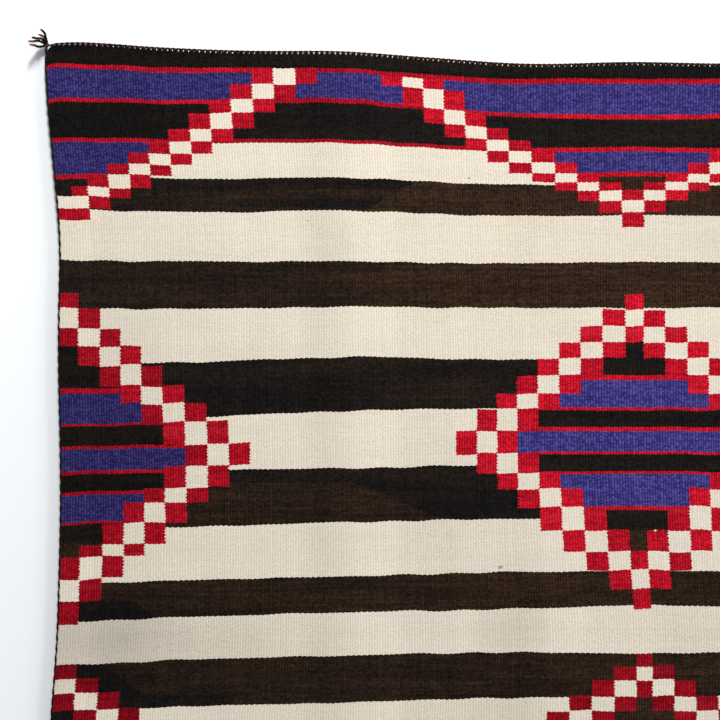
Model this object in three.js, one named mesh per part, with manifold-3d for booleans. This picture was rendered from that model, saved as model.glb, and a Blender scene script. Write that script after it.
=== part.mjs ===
// Chief blanket, laid out flat and face up: one thick weft-faced woven panel,
// wider along its weft (X) than along its warp (Y), with a twisted cord bound
// to each of its four edges and a knotted tassel of cord ends at each corner.
// Millimetres, +Z up. The origin is under the middle of the blanket's box.

import * as THREE from 'three';
import { mergeVertices } from 'three/addons/utils/BufferGeometryUtils.js';
import Module from 'manifold-3d';

// ---- driving dimensions -------------------------------------------------

const HALF_WIDTH = 857; // half the width at the waist, along the weft
const HALF_HEIGHT = 567; // half the height at mid width, along the warp
const CLOTH_THICKNESS = 2.6; // packed weft over a stout warp
const PANEL_COLUMNS = 54; // facets along the weft
const PANEL_ROWS = 20; // facets along the warp

const CORD_DIAMETER = 3.2; // edge cord, two plies twisted
const CORD_SIDES = 8;
const FIT_GAP = 0.3; // between pieces that lie against each other
const CORD_END_SHORT = 4.7; // each cord stops this far before the corner
const CORNER_TURN = 5; // how far each corner of the panel is drawn in, both ways

const KNOT_RADIUS = 4.2; // where the cords of two edges are tied together
const KNOT_SEGMENTS = 10;
const STRAND_SIDES = 6;
const STRAND_STEPS = 4;
const STRAND_ROOT_RADIUS = 1.6;
const STRAND_TIP_RADIUS = 1.1;
const STRAND_BURY = 2.2; // how far out from the knot's middle a strand starts

// How far each woven edge bows out past its middle, by place along the edge.
// at runs from -1 (left or bottom end) to +1 (right or top end).
const EDGE_BOW = [
  { at: -1.0, left: 22.0, right: 20.0, top: 28.5, bottom: 27.0 },
  { at: -0.84, left: 18.5, right: 16.0, top: 22.0, bottom: 22.0 },
  { at: -0.67, left: 12.0, right: 9.5, top: 17.3, bottom: 18.0 },
  { at: -0.5, left: 4.5, right: 5.0, top: 15.5, bottom: 12.0 },
  { at: -0.33, left: 1.0, right: 2.5, top: 4.2, bottom: 8.0 },
  { at: -0.17, left: -1.2, right: 0.0, top: -2.6, bottom: 3.0 },
  { at: 0.0, left: -0.8, right: -1.0, top: -0.2, bottom: 0.0 },
  { at: 0.17, left: 1.5, right: 0.5, top: -2.2, bottom: 1.0 },
  { at: 0.33, left: 1.5, right: 2.0, top: 4.0, bottom: 5.0 },
  { at: 0.5, left: 0.0, right: 3.0, top: 11.0, bottom: 12.0 },
  { at: 0.67, left: 6.0, right: 8.0, top: 18.0, bottom: 16.0 },
  { at: 0.84, left: 14.5, right: 15.0, top: 23.0, bottom: 22.0 },
  { at: 1.0, left: 21.0, right: 21.5, top: 27.0, bottom: 28.0 },
];

// Soft ridges left in the cloth by folding, and an edge that lifts a little.
// x is the ridge's place at mid height, lean how far it drifts over the full
// height, half its half width, low and high its ends, fade how each end dies.
const SOFT_FOLDS = [
  { fold: 'left quarter', x: -425, lean: -12, lift: 3.4, half: 84, low: -700, high: 700, fade: 200 },
  { fold: 'inner left', x: -128, lean: 22, lift: 2.2, half: 76, low: -700, high: 60, fade: 240 },
  { fold: 'right quarter', x: 428, lean: 10, lift: 3.0, half: 84, low: -700, high: 700, fade: 200 },
  { fold: 'left edge', x: -872, lean: 0, lift: 5.0, half: 80, low: -560, high: 540, fade: 170 },
];

// Cord ends that splay from each corner's knot: heading in degrees from +X,
// turning anticlockwise, the reach of the tip from the knot's middle, and how
// far the stiff tip stands up above it.
const TASSEL_STRANDS = {
  top_left: [
    { heading: 105, reach: 26.2, rise: 10 },
    { heading: 121, reach: 20.3, rise: 14 },
    { heading: 155, reach: 24.4, rise: 17 },
    { heading: 169, reach: 27.4, rise: 13 },
    { heading: 182, reach: 25.1, rise: 9 },
  ],
  top_right: [
    { heading: 84, reach: 22.0, rise: 6 },
    { heading: 58, reach: 25.5, rise: 11 },
    { heading: 31, reach: 24.0, rise: 13 },
    { heading: 12, reach: 27.0, rise: 8 },
    { heading: -9, reach: 22.5, rise: 5 },
  ],
  bottom_left: [
    { heading: 188, reach: 24.5, rise: 7 },
    { heading: 209, reach: 27.0, rise: 12 },
    { heading: 227, reach: 21.5, rise: 9 },
    { heading: 252, reach: 26.5, rise: 5 },
    { heading: 274, reach: 22.0, rise: 8 },
  ],
  bottom_right: [
    { heading: 6, reach: 23.0, rise: 5 },
    { heading: -17, reach: 27.5, rise: 9 },
    { heading: -41, reach: 22.0, rise: 12 },
    { heading: -60, reach: 25.0, rise: 7 },
    { heading: -88, reach: 26.0, rise: 10 },
  ],
};

const CLOTH_COLOUR = 0xb9a894;
const DARK_CORD_COLOUR = 0x1c1613;
const BROWN_CORD_COLOUR = 0x2e2119;

// ---- the cloth's surface --------------------------------------------------

const bowPlaces = EDGE_BOW.map((row) => row.at);
const bowOf = (edge) => {
  const curve = new THREE.CubicInterpolant(bowPlaces, EDGE_BOW.map((row) => row[edge]), 1);
  return (at) => curve.evaluate(THREE.MathUtils.clamp(at, -1, 1))[0];
};
const bow = { left: bowOf('left'), right: bowOf('right'), top: bowOf('top'), bottom: bowOf('bottom') };

// A soft bump, 1 at the middle and 0 at the ends, flat outside them.
const bump = (d) => (Math.abs(d) < 1 ? 0.5 + 0.5 * Math.cos(Math.PI * d) : 0);

function lift(x, y) {
  let most = 0;
  for (const f of SOFT_FOLDS) {
    const across = bump((x - f.x - (f.lean * y) / (2 * HALF_HEIGHT)) / f.half);
    const along =
      THREE.MathUtils.smoothstep(y, f.low, f.low + f.fade) *
      (1 - THREE.MathUtils.smoothstep(y, f.high - f.fade, f.high));
    most = Math.max(most, f.lift * across * along);
  }
  return most;
}

// The underside at (s, t), each from -1 to +1 across the weft and the warp.
function clothPoint(s, t) {
  const x =
    HALF_WIDTH * s - bow.left(t) * ((1 - s) / 2) ** 2 + bow.right(t) * ((1 + s) / 2) ** 2;
  const y =
    HALF_HEIGHT * t + bow.top(s) * ((1 + t) / 2) ** 2 - bow.bottom(s) * ((1 - t) / 2) ** 2;
  return new THREE.Vector3(x, y, lift(x, y));
}

function solidFrom(positions, triangles) {
  const geometry = new THREE.BufferGeometry();
  geometry.setAttribute('position', new THREE.Float32BufferAttribute(positions, 3));
  geometry.setIndex(triangles);
  geometry.computeVertexNormals();
  return geometry;
}

function panelGeometry() {
  const positions = [];
  const triangles = [];
  const across = PANEL_COLUMNS + 1;
  const count = across * (PANEL_ROWS + 1);
  for (const raise of [0, CLOTH_THICKNESS]) {
    for (let j = 0; j <= PANEL_ROWS; j++) {
      for (let i = 0; i <= PANEL_COLUMNS; i++) {
        const p = clothPoint((2 * i) / PANEL_COLUMNS - 1, (2 * j) / PANEL_ROWS - 1);
        const turn = i % PANEL_COLUMNS === 0 && j % PANEL_ROWS === 0 ? CORNER_TURN : 0;
        positions.push(p.x - Math.sign(p.x) * turn, p.y - Math.sign(p.y) * turn, p.z + raise);
      }
    }
  }
  const under = (i, j) => j * across + i;
  const over = (i, j) => count + under(i, j);
  const quad = (a, b, c, d) => triangles.push(a, b, c, a, c, d);
  for (let j = 0; j < PANEL_ROWS; j++) {
    for (let i = 0; i < PANEL_COLUMNS; i++) {
      quad(over(i, j), over(i + 1, j), over(i + 1, j + 1), over(i, j + 1));
      quad(under(i, j), under(i, j + 1), under(i + 1, j + 1), under(i + 1, j));
    }
  }
  for (let i = 0; i < PANEL_COLUMNS; i++) {
    quad(under(i, 0), under(i + 1, 0), over(i + 1, 0), over(i, 0));
    quad(under(i + 1, PANEL_ROWS), under(i, PANEL_ROWS), over(i, PANEL_ROWS), over(i + 1, PANEL_ROWS));
  }
  for (let j = 0; j < PANEL_ROWS; j++) {
    quad(under(0, j + 1), under(0, j), over(0, j), over(0, j + 1));
    quad(under(PANEL_COLUMNS, j), under(PANEL_COLUMNS, j + 1), over(PANEL_COLUMNS, j + 1), over(PANEL_COLUMNS, j));
  }
  return solidFrom(positions, triangles);
}

// ---- cords and tassels ------------------------------------------------------

// A closed round solid along a path: one ring of points for each section.
function loft(sections, sides) {
  const positions = [];
  const triangles = [];
  const up = new THREE.Vector3(0, 0, 1);
  sections.forEach(({ centre, along, radius }) => {
    const side = new THREE.Vector3().crossVectors(up, along).normalize();
    const top = new THREE.Vector3().crossVectors(along, side).normalize();
    for (let k = 0; k < sides; k++) {
      const a = (2 * Math.PI * (k + 0.5)) / sides;
      const p = centre
        .clone()
        .addScaledVector(side, radius * Math.cos(a))
        .addScaledVector(top, radius * Math.sin(a));
      positions.push(p.x, p.y, p.z);
    }
  });
  const last = sections.length - 1;
  const at = (n, k) => n * sides + (k % sides);
  for (let n = 0; n < last; n++) {
    for (let k = 0; k < sides; k++) {
      triangles.push(at(n, k), at(n, k + 1), at(n + 1, k + 1));
      triangles.push(at(n, k), at(n + 1, k + 1), at(n + 1, k));
    }
  }
  for (let k = 1; k < sides - 1; k++) {
    triangles.push(at(0, 0), at(0, k + 1), at(0, k));
    triangles.push(at(last, 0), at(last, k), at(last, k + 1));
  }
  return solidFrom(positions, triangles);
}

// The rim of one edge, walked clockwise seen from above, so that the cord's
// place is always to the left of the walk.
function rim(edge) {
  const alongWeft = edge === 'top' || edge === 'bottom';
  const steps = alongWeft ? PANEL_COLUMNS : PANEL_ROWS;
  const points = [];
  for (let n = 0; n <= steps; n++) {
    const v = (2 * n) / steps - 1;
    if (edge === 'left') points.push(clothPoint(-1, v));
    if (edge === 'top') points.push(clothPoint(v, 1));
    if (edge === 'right') points.push(clothPoint(1, -v));
    if (edge === 'bottom') points.push(clothPoint(-v, -1));
  }
  return points;
}

function cordGeometry(edge) {
  const points = rim(edge);
  const last = points.length - 1;
  const inset = (end, next) =>
    end.clone().addScaledVector(next.clone().sub(end).normalize(), CORD_END_SHORT);
  const ends = [inset(points[0], points[1]), inset(points[last], points[last - 1])];
  points[0] = ends[0];
  points[last] = ends[1];
  const radius = CORD_DIAMETER / 2;
  const reach = radius + FIT_GAP;
  const sections = points.map((p, n) => {
    const before = points[Math.max(n - 1, 0)];
    const after = points[Math.min(n + 1, last)];
    const along = after.clone().sub(before).setZ(0).normalize();
    const out = new THREE.Vector3(-along.y, along.x, 0);
    const centre = p.clone().addScaledVector(out, reach);
    centre.z = p.z + radius;
    return { centre, along, radius };
  });
  return loft(sections, CORD_SIDES);
}

const wasm = await Module();
wasm.setup();

function toManifold(geometry) {
  const bare = geometry.clone();
  bare.deleteAttribute('normal');
  bare.deleteAttribute('uv');
  const merged = mergeVertices(bare, 1e-4);
  return new wasm.Manifold(
    new wasm.Mesh({
      numProp: 3,
      vertProperties: new Float32Array(merged.attributes.position.array),
      triVerts: new Uint32Array(merged.index.array),
    }),
  );
}

function fromManifold(solid) {
  const mesh = solid.getMesh();
  return solidFrom(Array.from(mesh.vertProperties), Array.from(mesh.triVerts));
}

// The knot sits where the panel's corner would be if it were not drawn in.
function tasselGeometry(corner) {
  const s = corner.endsWith('left') ? -1 : 1;
  const t = corner.startsWith('top') ? 1 : -1;
  const middle = clothPoint(s, t).add(new THREE.Vector3(0, 0, KNOT_RADIUS));
  let tassel = toManifold(
    new THREE.SphereGeometry(KNOT_RADIUS, KNOT_SEGMENTS, KNOT_SEGMENTS - 2)
      .rotateX(Math.PI / 2)
      .translate(middle.x, middle.y, middle.z),
  );
  for (const { heading, reach, rise } of TASSEL_STRANDS[corner]) {
    const a = THREE.MathUtils.degToRad(heading);
    const ahead = new THREE.Vector3(Math.cos(a), Math.sin(a), 0);
    const sections = [];
    for (let n = 0; n <= STRAND_STEPS; n++) {
      const f = n / STRAND_STEPS;
      const radius = THREE.MathUtils.lerp(STRAND_ROOT_RADIUS, STRAND_TIP_RADIUS, f);
      const run = reach - STRAND_BURY;
      const centre = middle.clone().addScaledVector(ahead, STRAND_BURY + run * f);
      centre.z += rise * f ** 2;
      const along = ahead.clone().setZ((2 * rise * f) / run).normalize();
      sections.push({ centre, along, radius });
    }
    tassel = tassel.add(toManifold(loft(sections, STRAND_SIDES)));
  }
  return fromManifold(tassel);
}

// ---- the blanket ------------------------------------------------------------

const blanket = new THREE.Group();
const laid = new THREE.Group();
blanket.add(laid);

function addPiece(name, geometry, colour, roughness) {
  const mesh = new THREE.Mesh(
    geometry,
    new THREE.MeshStandardMaterial({ color: colour, roughness, metalness: 0 }),
  );
  mesh.name = name;
  laid.add(mesh);
}

addPiece('blanket_panel', panelGeometry(), CLOTH_COLOUR, 0.92);
addPiece('end_cord_top', cordGeometry('top'), BROWN_CORD_COLOUR, 0.9);
addPiece('end_cord_bottom', cordGeometry('bottom'), BROWN_CORD_COLOUR, 0.9);
addPiece('side_cord_left', cordGeometry('left'), DARK_CORD_COLOUR, 0.9);
addPiece('side_cord_right', cordGeometry('right'), DARK_CORD_COLOUR, 0.9);
for (const corner of Object.keys(TASSEL_STRANDS)) {
  addPiece(`tassel_${corner}`, tasselGeometry(corner), DARK_CORD_COLOUR, 0.9);
}

// The whole blanket is set over the origin, resting on Z = 0.
const box = new THREE.Box3().setFromObject(laid);
const centre = box.getCenter(new THREE.Vector3());
laid.position.set(-centre.x, -centre.y, -box.min.z);

export default blanket;
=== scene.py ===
"""Looks of a chief blanket laid out flat and face up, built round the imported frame.

Metres, +Z up. X runs along the weft, Y along the warp. The tables below are in
millimetres and are turned into metres where a mesh is made.
"""
import math

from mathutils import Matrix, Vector

import bpy
import numpy as np


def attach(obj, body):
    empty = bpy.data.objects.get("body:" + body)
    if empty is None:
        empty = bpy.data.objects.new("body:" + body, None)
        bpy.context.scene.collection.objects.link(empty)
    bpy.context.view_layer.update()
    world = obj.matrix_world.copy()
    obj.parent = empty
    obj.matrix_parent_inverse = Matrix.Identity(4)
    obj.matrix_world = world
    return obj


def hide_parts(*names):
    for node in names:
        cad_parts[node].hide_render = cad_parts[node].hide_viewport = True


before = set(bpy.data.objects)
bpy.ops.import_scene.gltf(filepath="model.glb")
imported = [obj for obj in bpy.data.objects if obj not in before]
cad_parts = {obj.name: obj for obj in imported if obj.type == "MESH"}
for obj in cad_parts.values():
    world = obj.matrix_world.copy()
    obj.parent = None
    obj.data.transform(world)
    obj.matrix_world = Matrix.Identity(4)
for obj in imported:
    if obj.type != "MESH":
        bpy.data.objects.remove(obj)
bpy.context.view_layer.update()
MM = 0.001

# ---- the cloth's size and outline, as in the part's source -------------------

HALF_WIDTH = 857.0
HALF_HEIGHT = 567.0
THICKNESS = 2.6

# at runs from -1 (left or bottom end) to +1; the rest say how far each edge bows
# out there, and lean how far the warps drift along the weft at mid width.
BOW = [
    {"at": -1.00, "left": 22.0, "right": 20.0, "top": 28.5, "bottom": 27.0, "lean": 15.0},
    {"at": -0.95, "left": 21.2, "right": 18.9, "top": 30.8, "bottom": 25.6, "lean": 15.0},
    {"at": -0.90, "left": 20.0, "right": 17.5, "top": 29.0, "bottom": 24.0, "lean": 15.0},
    {"at": -0.84, "left": 18.5, "right": 16.0, "top": 25.0, "bottom": 22.0, "lean": 15.0},
    {"at": -0.67, "left": 12.0, "right": 9.5, "top": 18.4, "bottom": 18.0, "lean": 14.5},
    {"at": -0.50, "left": 4.5, "right": 5.0, "top": 17.0, "bottom": 12.0, "lean": 13.0},
    {"at": -0.33, "left": 1.0, "right": 2.5, "top": 7.4, "bottom": 8.0, "lean": 6.5},
    {"at": -0.17, "left": -1.2, "right": 0.0, "top": -1.4, "bottom": 3.0, "lean": 2.0},
    {"at": 0.00, "left": -0.8, "right": -1.0, "top": 1.2, "bottom": 0.0, "lean": 0.0},
    {"at": 0.17, "left": 1.5, "right": 0.5, "top": -1.0, "bottom": 1.0, "lean": -0.5},
    {"at": 0.33, "left": 1.5, "right": 2.0, "top": 4.0, "bottom": 5.0, "lean": -2.0},
    {"at": 0.50, "left": 0.0, "right": 3.0, "top": 11.0, "bottom": 12.0, "lean": -3.5},
    {"at": 0.67, "left": 7.6, "right": 8.0, "top": 18.0, "bottom": 16.0, "lean": -4.5},
    {"at": 0.84, "left": 17.3, "right": 15.0, "top": 23.0, "bottom": 22.0, "lean": -5.0},
    {"at": 0.93, "left": 21.4, "right": 18.7, "top": 25.3, "bottom": 25.4, "lean": -5.0},
    {"at": 1.00, "left": 21.6, "right": 21.5, "top": 27.0, "bottom": 28.0, "lean": -5.0},
]

FOLDS = [
    {"x": -425, "lean": -12, "lift": 3.4, "half": 84, "low": -700, "high": 700, "fade": 200},
    {"x": -128, "lean": 22, "lift": 2.2, "half": 76, "low": -700, "high": 60, "fade": 240},
    {"x": 428, "lean": 10, "lift": 3.0, "half": 84, "low": -700, "high": 700, "fade": 200},
    {"x": -872, "lean": 0, "lift": 5.0, "half": 80, "low": -560, "high": 660, "fade": 170},
]

# Cord ends at each corner: heading in degrees from +X, reach from the knot, how far the
# tip stands up, how far the end bows to its left, and how tan its frayed tip is.
STRANDS = {
    "top_left": [
        (104, 24.0, 10, -2.2, 0.02), (121, 17.4, 14, -3.4, 0.35), (157, 21.4, 16, -5.2, 0.02),
        (173, 25.6, 13, -4.2, 0.55), (180, 24.4, 9, 2.4, 0.85),
    ],
    "top_right": [
        (84, 22.0, 6, 2.0, 0.1), (58, 25.5, 11, 3.0, 0.7), (31, 24.0, 13, -2.6, 0.1),
        (12, 27.0, 8, 3.6, 0.9), (-9, 22.5, 5, -1.4, 0.3),
    ],
    "bottom_left": [
        (188, 24.5, 7, 1.8, 0.2), (209, 27.0, 12, -3.2, 0.8), (227, 21.5, 9, 2.4, 0.1),
        (252, 26.5, 5, 3.8, 0.9), (274, 22.0, 8, -1.2, 0.1),
    ],
    "bottom_right": [
        (6, 23.0, 5, -2.0, 0.1), (-17, 27.5, 9, 3.2, 0.8), (-41, 22.0, 12, -3.0, 0.2),
        (-60, 25.0, 7, 2.6, 0.9), (-88, 26.0, 10, 1.2, 0.1),
    ],
}

# ---- the weave ----------------------------------------------------------------

RIBS = 216  # warps from the middle to either side
PER_RIB = 3  # mesh columns for each warp
RIB_DEPTH = 0.30
SCALLOP = 0.46  # how far neighbouring ribs shift a colour's edge
PICK = 2.45  # height of one bead of weft on a rib
CORNER_ROUND = 13.0
SELVEDGE_DIP = {1: 5.5, 2: 5.5, 3: 3.5, 4: 3.5}  # lines near the ends sag at the sides
DIP_RUN = 7.0

# Where each colour changes in the plain ground, at five places across the left
# half: the side edge, a quarter in, the half's middle, and so on to the middle.
STATIONS = [-859.5, -649.5, -432.0, -199.5, 0.0]
WEFT_LINES = [
    # line, at the edge, outer, quarter, inner, axis
    (1, 569.2, 562.5, 561.0, 546.8, 546.0),
    (2, 563.2, 555.0, 555.0, 539.2, 538.5),
    (3, 517.5, 514.5, 516.0, 496.5, 492.0),
    (4, 511.5, 508.5, 509.2, 490.5, 484.5),
    (5, 457.5, 455.2, 454.5, 443.2, 443.2),
    (6, 451.5, 449.2, 449.2, 437.2, 436.5),
    (7, 401.2, 396.0, 397.5, 387.8, 387.0),
    (8, 350.2, 345.8, 348.0, 340.5, 341.2),
    (9, 273.8, 272.2, 272.2, 269.2, 271.5),
    (10, 201.8, 201.0, 204.0, 202.5, 202.5),
    (11, 119.2, 121.5, 129.0, 125.2, 127.5),
    (12, 34.5, 39.0, 48.0, 51.8, 51.8),
    (13, -45.0, -40.5, -37.5, -33.0, -30.8),
    (14, -129.0, -125.2, -118.5, -114.0, -111.0),
    (15, -212.2, -204.8, -199.5, -193.5, -191.2),
    (16, -268.5, -260.2, -253.5, -249.0, -243.0),
    (17, -333.0, -324.0, -318.0, -313.5, -315.0),
    (18, -400.5, -394.5, -388.5, -381.8, -379.5),
    (19, -453.0, -445.5, -439.5, -432.0, -430.5),
    (20, -459.0, -451.5, -445.5, -438.0, -436.5),
    (21, -514.5, -505.5, -499.5, -490.5, -487.5),
    (22, -520.5, -511.5, -505.5, -496.5, -493.5),
    (23, -561.0, -552.0, -544.5, -534.0, -529.5),
    (24, -567.0, -558.0, -550.5, -540.0, -535.5),
]
LAST_LINE = 25
SPLIT = {4, 8, 9, 10, 11, 12, 13, 14, 15, 16, 17}  # tall bands get one more mesh row

# How brown the dark wool is along a line, at the same five places: 0 black, 1 brown.
BROWN = {
    7: (0.50, 0.60, 0.90, 0.98, 1.00),
    8: (0.50, 0.60, 0.90, 1.00, 1.00),
    9: (0.36, 0.48, 0.56, 0.95, 1.00),
    10: (0.38, 0.48, 0.56, 0.95, 1.00),
    11: (0.05, 0.14, 0.38, 0.36, 0.38),
    12: (0.10, 0.20, 0.39, 0.34, 0.36),
    13: (0.30, 0.30, 0.28, 0.26, 0.28),
    14: (0.30, 0.30, 0.28, 0.26, 0.28),
    15: (0.56, 0.55, 0.57, 0.76, 0.74),
    16: (0.56, 0.55, 0.57, 0.76, 0.74),
    17: (0.50, 0.54, 0.49, 0.68, 0.78),
    18: (0.50, 0.54, 0.49, 0.68, 0.78),
}

# The dark bands were built up in wedges from two lots of wool. Each lies in the band below
# its line, on the left hand of every one of its slanting joins (x, y to x, y).
UPPER_JOIN = (-391, 355, -324, 393)
WEDGES = [
    {"line": 7, "brown": 0.48, "joins": [UPPER_JOIN]},
    {"line": 7, "brown": 0.10, "joins": [UPPER_JOIN, (-760, 380, -345, 381)]},
    {"line": 7, "brown": 0.14, "joins": [UPPER_JOIN, (-600, 353, -345, 354), (-345, 366, -600, 366), (-600, 400, -600, 300)]},
    {"line": 13, "brown": 0.58, "joins": [(-286, -114, -424, -57), (-424, -57, -627, -60)]},
    {"line": 15, "brown": 0.06, "joins": [(-715, -261, -747, -238), (-747, -238, -829, -238)]},
    {"line": 17, "brown": 0.06, "joins": [(-724, -385, -800, -329)]},
    {"line": 17, "brown": 0.22, "joins": [(-600, -377, -750, -379), (-600, -400, -600, -300)]},
]

# How far ribs sit from even spacing, by rib from the middle on the left half, near the
# top edge, at mid height and near the bottom edge.
RIB_DRIFT = [
    # rib, top, mid, bottom
    (-216, 0.0, 0.0, 0.0),
    (-200, 1.6, 0.6, 3.6),
    (-180, 2.0, -1.8, 2.8),
    (-165, 1.8, 0.0, 2.4),
    (-145, 3.0, 1.2, 1.2),
    (-120, 3.8, 1.5, -0.6),
    (-88, 0.2, 1.0, -2.0),
    (-62, -4.8, 1.5, -3.0),
    (-40, -4.0, -1.8, -3.0),
    (-24, 0.6, -2.0, -0.6),
    (-12, 1.2, 0.4, 2.0),
    (0, 3.2, 3.4, 3.0),
]
RIGHT_DRIFT = [(12, 4.8, 4.4, 3.0), (24, 6.4, 6.2, 4.8)]  # the right half's own, near the middle
DRIFT_HEIGHTS = {"top": 0.72, "mid": 0.1, "bottom": -0.42}

# The stepped diamonds, charted in weft lines: the rows' edges from the first tip
# to the last, on the edge's half diamonds and on the whole one in the middle.
MID_ROWS_EDGE = [9.69, 10.00, 10.37, 10.70, 11.05, 11.42, 11.74, 12.08, 12.505,
                 12.91, 13.30, 13.555, 13.91, 14.30, 14.51, 14.91, 15.45, 16.07]
MID_ROWS_AXIS = [9.696, 10.03, 10.36, 10.68, 10.99, 11.33, 11.70, 12.00, 12.39,
                 12.79, 13.156, 13.46, 13.80, 14.24, 14.635, 14.98, 15.53, 16.08]
MID_STEPS = 8
# Stripes inside those: dark, then red, blue, red, dark over and over.
MID_STRIPES_EDGE = [11.446, 11.54, 12.085, 12.13, 12.505, 12.565, 12.97, 13.036,
                    13.34, 13.40, 13.875, 13.92]
MID_STRIPES_AXIS = [11.337, 11.436, 11.98, 12.036, 12.336, 12.41, 12.78, 12.827,
                    13.14, 13.187, 13.794, 13.87]
# The halves and quarters along the top and bottom, from the tip outwards.
END_ROWS_EDGE = [8.21, 7.96, 7.60, 7.32, 6.92, 6.61, 6.29, 5.50, 4.71, 4.27, 3.10, 2.45]
END_ROWS_AXIS = [8.255, 7.90, 7.517, 7.18, 6.92, 6.65, 6.32, 5.86, 4.746, 4.37, 3.40, 2.36]
END_ROWS_LOW = [8.00, 7.70, 7.38, 7.00, 6.58, 6.20, 5.85, 5.45, 4.72, 4.25, 3.20, 2.36]
END_TOP = {"axis": 2.0, "edge": 1.0}  # where their steps start, by the outer red line
# Where the blue and the red line inside them end, on the axis and at the side.
END_BLUE = {"axis": 6.62, "edge": 6.96}
END_RED = {"axis": 6.76, "edge": 7.09}
SIDE_NOTCH = 5.2  # ribs at the side where the third row from a top quarter's tip is dark
LOW_SHIFT = -0.50  # the same lines lie further out in the bottom ones
STEP_RIBS = 8.0
# Ribs from a diamond's axis or side to the first step of its outline.
TIP_RIBS = {
    "axis": {"top": 4.0, "mid": 3.3, "bottom": 3.0},
    "edge": {"top": 11.0, "mid": 6.7, "bottom": 7.2},
}

# Small marks that use has left: place, half sizes, colour and strength.
MARKS = [
    {"x": -199, "y": -186, "rx": 4.5, "ry": 3.2, "rgb": (150, 112, 70), "most": 0.75},
    {"x": -246, "y": 397, "rx": 2.6, "ry": 1.2, "rgb": (88, 84, 92), "most": 0.85},
    {"x": -294, "y": 181, "rx": 3.4, "ry": 1.3, "rgb": (196, 104, 100), "most": 0.6},
    {"x": -487, "y": 333, "rx": 1.6, "ry": 1.4, "rgb": (120, 110, 100), "most": 0.7},
    {"x": -188, "y": 328, "rx": 6.5, "ry": 4.0, "rgb": (214, 196, 140), "most": 0.6},
    {"x": 33, "y": -131, "rx": 2.2, "ry": 1.5, "rgb": (236, 226, 206), "most": 0.9},
]


# Broad patches of painted shade: the colour is darkened there to stand for light falling off across the cloth.
PAINTED_SHADE_PATCHES = [
    {"x": -812, "y": -305, "rx": 190, "ry": 95, "dim": 0.26},
    {"x": -640, "y": -300, "rx": 230, "ry": 90, "dim": 0.10},
    {"x": -190, "y": -280, "rx": 70, "ry": 60, "dim": 0.09},
    {"x": -200, "y": -410, "rx": 160, "ry": 60, "dim": 0.08},
    {"x": 90, "y": 312, "rx": 340, "ry": 120, "dim": 0.06},
    {"x": 110, "y": -280, "rx": 140, "ry": 70, "dim": 0.07},
    {"x": -850, "y": 100, "rx": 280, "ry": 460, "dim": 0.09},
]


# ---- small helpers --------------------------------------------------------------

def smooth_table(xs, ys, x):
    """A smooth curve through a table, with slopes taken from the neighbours."""
    xs, ys = np.asarray(xs, float), np.asarray(ys, float)
    slope = np.gradient(ys, xs)
    x = np.clip(x, xs[0], xs[-1])
    i = np.clip(np.searchsorted(xs, x, side="right") - 1, 0, len(xs) - 2)
    h = xs[i + 1] - xs[i]
    f = (x - xs[i]) / h
    return (
        (1 + 2 * f) * (1 - f) ** 2 * ys[i]
        + f * (1 - f) ** 2 * h * slope[i]
        + f * f * (3 - 2 * f) * ys[i + 1]
        + f * f * (f - 1) * h * slope[i + 1]
    )


def bow(edge, at):
    return smooth_table([r["at"] for r in BOW], [r[edge] for r in BOW], at)


def across(values, x, right=0.85):
    """A row of five station values, mirrored to the right half a little evened out."""
    values = np.asarray(values, float)
    other = values[-1] + (values[-2::-1] - values[-1]) * right
    return smooth_table(STATIONS + [-v for v in STATIONS[-2::-1]], np.r_[values, other], x)


def ease(x, low, high):
    f = np.clip((x - low) / (high - low), 0, 1)
    return f * f * (3 - 2 * f)


def lift(x, y):
    most = np.zeros(np.broadcast(x, y).shape)
    for f in FOLDS:
        d = (x - f["x"] - f["lean"] * y / (2 * HALF_HEIGHT)) / f["half"]
        side = np.where(np.abs(d) < 1, 0.5 + 0.5 * np.cos(np.pi * np.clip(d, -1, 1)), 0)
        along = ease(y, f["low"], f["low"] + f["fade"]) * (1 - ease(y, f["high"] - f["fade"], f["high"]))
        most = np.maximum(most, f["lift"] * side * along)
    return most


def waves(seed, count, across_mm, along_mm):
    """A smooth, seeded field in the plane, about -1 to 1."""
    rng = np.random.default_rng(seed)
    kx = 2 * np.pi / rng.uniform(*across_mm, count) * rng.choice([-1, 1], count)
    ky = 2 * np.pi / rng.uniform(*along_mm, count)
    turn = rng.uniform(0, 2 * np.pi, count)

    def field(x, y):
        return sum(np.sin(a * x + b * y + c) for a, b, c in zip(kx, ky, turn)) / math.sqrt(count / 2) / 2

    return field


def place_t(s, y):
    """The outline's own warp coordinate, -1 to 1, for a height y at s."""
    t = y / HALF_HEIGHT
    for _ in range(6):
        t = (y - bow("top", s) * ((1 + t) / 2) ** 2 + bow("bottom", s) * ((1 - t) / 2) ** 2) / HALF_HEIGHT
    return np.clip(t, -1, 1)


def plan_x(s, y):
    t = place_t(s, y)
    return (
        HALF_WIDTH * s
        - bow("left", t) * ((1 - s) / 2) ** 2
        + bow("right", t) * ((1 + s) / 2) ** 2
        + bow("lean", t) * (1 - s * s) ** 2
    )


# The part is set over the middle of its box, which moves it this far.
SHIFT = np.array([0.09, 0.10, 0.0])


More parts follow.
